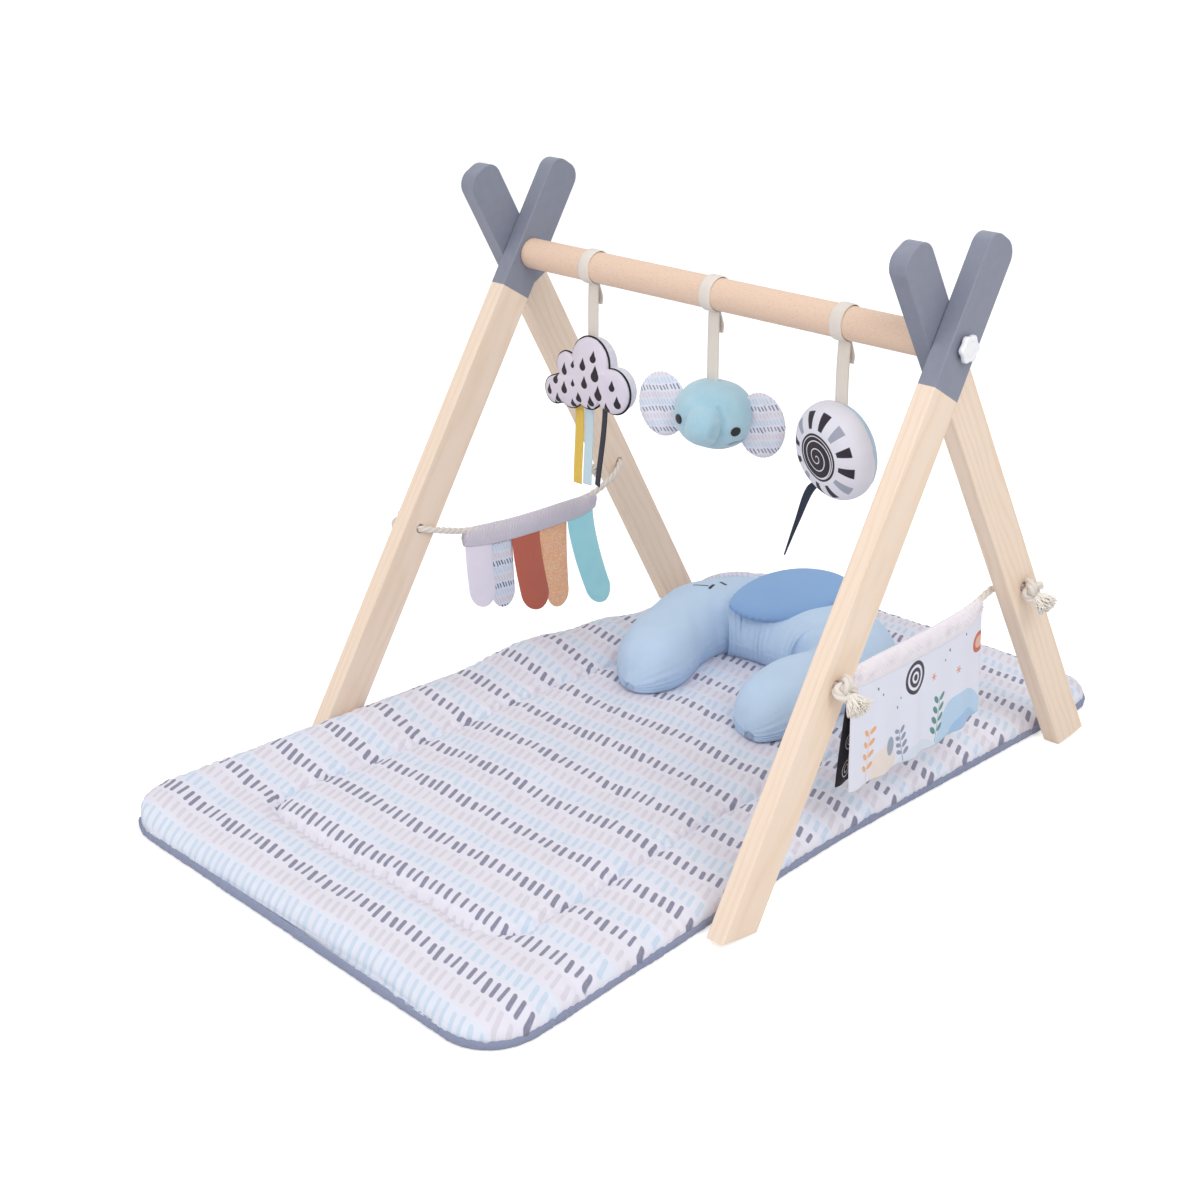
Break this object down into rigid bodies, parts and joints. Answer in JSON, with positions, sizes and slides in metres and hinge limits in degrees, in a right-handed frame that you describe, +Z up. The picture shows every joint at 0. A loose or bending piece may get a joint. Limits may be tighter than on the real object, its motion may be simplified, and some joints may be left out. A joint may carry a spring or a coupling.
{
  "type": "baby activity play gym",
  "caption": "Wooden A-frame play gym with a crossbar of hanging soft toys, rope-hung cloth banner and bunting, a quilted floor mat and a curved nursing cushion",
  "frame": {"origin": "on the floor under the middle of the crossbar, at the underside of the mat", "axes": "+X along the crossbar to the side with the banner, +Y along the mat to the end with the cushion, +Z up"},
  "size_m": [0.6856, 0.9858, 0.5995],
  "materials": {
    "beech": "fine sanded dowel with short flecks",
    "pine": "sanded pale board, upper end dipped in slate grey satin paint",
    "insert_brass": "plain",
    "zinc_steel": "zinc plated",
    "knob_plastic": "soft white",
    "rope": "twisted cream cotton rope",
    "webbing": "cream cotton webbing",
    "lilac_cotton": "plain or lightly printed cotton",
    "pale_print_cotton": "printed cotton",
    "black_cotton": "printed cotton",
    "rust_cotton": "soft plain cotton",
    "peach_cotton": "cotton with a fine squiggle print",
    "teal_velour": "velour",
    "yellow_ribbon": "woven ribbon",
    "pale_blue_ribbon": "woven ribbon",
    "navy_ribbon": "woven ribbon",
    "blue_velour": "short velour",
    "black_thread": "satin stitch",
    "white_cotton": "printed cotton",
    "mat_print_cotton": "cotton printed with rows of short strokes",
    "slate_cotton": "plain cotton",
    "blue_cotton": "plain cotton",
    "mid_blue_cotton": "plain cotton"
  },
  "bodies": {
    "crossbar": {"crossbar": "beech", "right_threaded_insert": "insert_brass", "left_threaded_insert": "insert_brass"},
    "right_outer_leg": {"right_outer_leg": "pine", "right_outer_leg_knot": "rope", "right_rope": "rope", "banner_casing": "lilac_cotton", "banner_outer_flap": "pale_print_cotton", "banner_inner_flap": "black_cotton"},
    "right_inner_leg": {"right_inner_leg": "pine", "right_inner_leg_knot": "rope"},
    "left_outer_leg": {"left_outer_leg": "pine", "left_outer_leg_knot": "rope", "left_rope": "rope", "bunting_sleeve": "lilac_cotton", "bunting_tab_1": "lilac_cotton", "bunting_tab_2": "pale_print_cotton", "bunting_tab_3": "rust_cotton", "bunting_tab_4": "peach_cotton", "bunting_tab_5": "teal_velour"},
    "left_inner_leg": {"left_inner_leg": "pine", "left_inner_leg_knot": "rope"},
    "right_knob": {"right_star_knob": "knob_plastic", "right_knob_stud": "zinc_steel", "right_washer": "zinc_steel"},
    "left_knob": {"left_star_knob": "knob_plastic", "left_knob_stud": "zinc_steel", "left_washer": "zinc_steel"},
    "cloud_loop": {"cloud_bar_loop": "webbing"},
    "cloud_toy": {"cloud_strap": "webbing", "cloud_body": "lilac_cotton", "cloud_ribbon_yellow": "yellow_ribbon", "cloud_ribbon_blue": "pale_blue_ribbon", "cloud_ribbon_navy": "navy_ribbon"},
    "elephant_loop": {"elephant_bar_loop": "webbing"},
    "elephant_toy": {"elephant_strap": "webbing", "elephant_head": "blue_velour", "elephant_trunk": "blue_velour", "elephant_ear_left": "pale_print_cotton", "elephant_ear_right": "pale_print_cotton", "elephant_eye_left": "black_thread", "elephant_eye_right": "black_thread"},
    "sun_loop": {"sun_bar_loop": "webbing"},
    "sun_toy": {"sun_strap": "webbing", "sun_body": "white_cotton", "sun_tail": "navy_ribbon"},
    "mat": {"mat_pad": "mat_print_cotton", "mat_backing": "slate_cotton"},
    "cushion": {"cushion_body": "blue_cotton", "cushion_ear": "mid_blue_cotton", "cushion_far_ear": "pale_print_cotton"}
  },
  "joints": [
    {"name": "right_fold", "type": "hinge", "parent": "crossbar", "child": "right_outer_leg", "pos_m": [0.3003, 0, 0.498], "axis": [1, 0, 0], "range_deg": [0, 26], "deforming": ["right_rope", "banner_casing", "banner_outer_flap", "banner_inner_flap"]},
    {"name": "right_spread", "type": "hinge", "parent": "right_outer_leg", "child": "right_inner_leg", "pos_m": [0.28, 0, 0.498], "axis": [1, 0, 0], "range_deg": [-52, 0], "deforming": ["right_rope", "banner_casing", "banner_outer_flap", "banner_inner_flap"]},
    {"name": "left_fold", "type": "hinge", "parent": "crossbar", "child": "left_outer_leg", "pos_m": [-0.3003, 0, 0.498], "axis": [-1, 0, 0], "range_deg": [0, 26], "deforming": ["left_rope", "bunting_sleeve", "bunting_tab_1", "bunting_tab_2", "bunting_tab_3", "bunting_tab_4", "bunting_tab_5"]},
    {"name": "left_spread", "type": "hinge", "parent": "left_outer_leg", "child": "left_inner_leg", "pos_m": [-0.28, 0, 0.498], "axis": [-1, 0, 0], "range_deg": [-52, 0], "deforming": ["left_rope", "bunting_sleeve", "bunting_tab_1", "bunting_tab_2", "bunting_tab_3", "bunting_tab_4", "bunting_tab_5"]},
    {"name": "right_knob_turn", "type": "hinge", "parent": "crossbar", "child": "right_knob", "pos_m": [0.315, 0, 0.498], "axis": [1, 0, 0], "continuous": true},
    {"name": "left_knob_turn", "type": "hinge", "parent": "crossbar", "child": "left_knob", "pos_m": [-0.315, 0, 0.498], "axis": [-1, 0, 0], "continuous": true},
    {"name": "cloud_slide", "type": "slide", "parent": "crossbar", "child": "cloud_loop", "axis": [1, 0, 0], "range_m": [-0.028, 0.018]},
    {"name": "cloud_swing", "type": "hinge", "parent": "cloud_loop", "child": "cloud_toy", "pos_m": [-0.167, 0, 0.498], "axis": [1, 0, 0], "range_deg": [-80, 80]},
    {"name": "elephant_slide", "type": "slide", "parent": "crossbar", "child": "elephant_loop", "axis": [1, 0, 0], "range_m": [-0.018, 0.018]},
    {"name": "elephant_swing", "type": "hinge", "parent": "elephant_loop", "child": "elephant_toy", "pos_m": [0.004, 0, 0.498], "axis": [1, 0, 0], "range_deg": [-80, 80]},
    {"name": "sun_slide", "type": "slide", "parent": "crossbar", "child": "sun_loop", "axis": [1, 0, 0], "range_m": [-0.018, 0.028]},
    {"name": "sun_swing", "type": "hinge", "parent": "sun_loop", "child": "sun_toy", "pos_m": [0.176, 0, 0.498], "axis": [1, 0, 0], "range_deg": [-80, 80]},
    {"name": "mat_slide", "type": "slide", "parent": "crossbar", "child": "mat", "axis": [0, -1, 0], "range_m": [0, 0.9]},
    {"name": "cushion_lift", "type": "slide", "parent": "mat", "child": "cushion", "axis": [0, 0, 1], "range_m": [0, 0.1]}
  ],
  "couplings": [
    {"joint": "right_spread", "follows": "right_fold", "ratio": -2},
    {"joint": "left_spread", "follows": "left_fold", "ratio": -2}
  ]
}
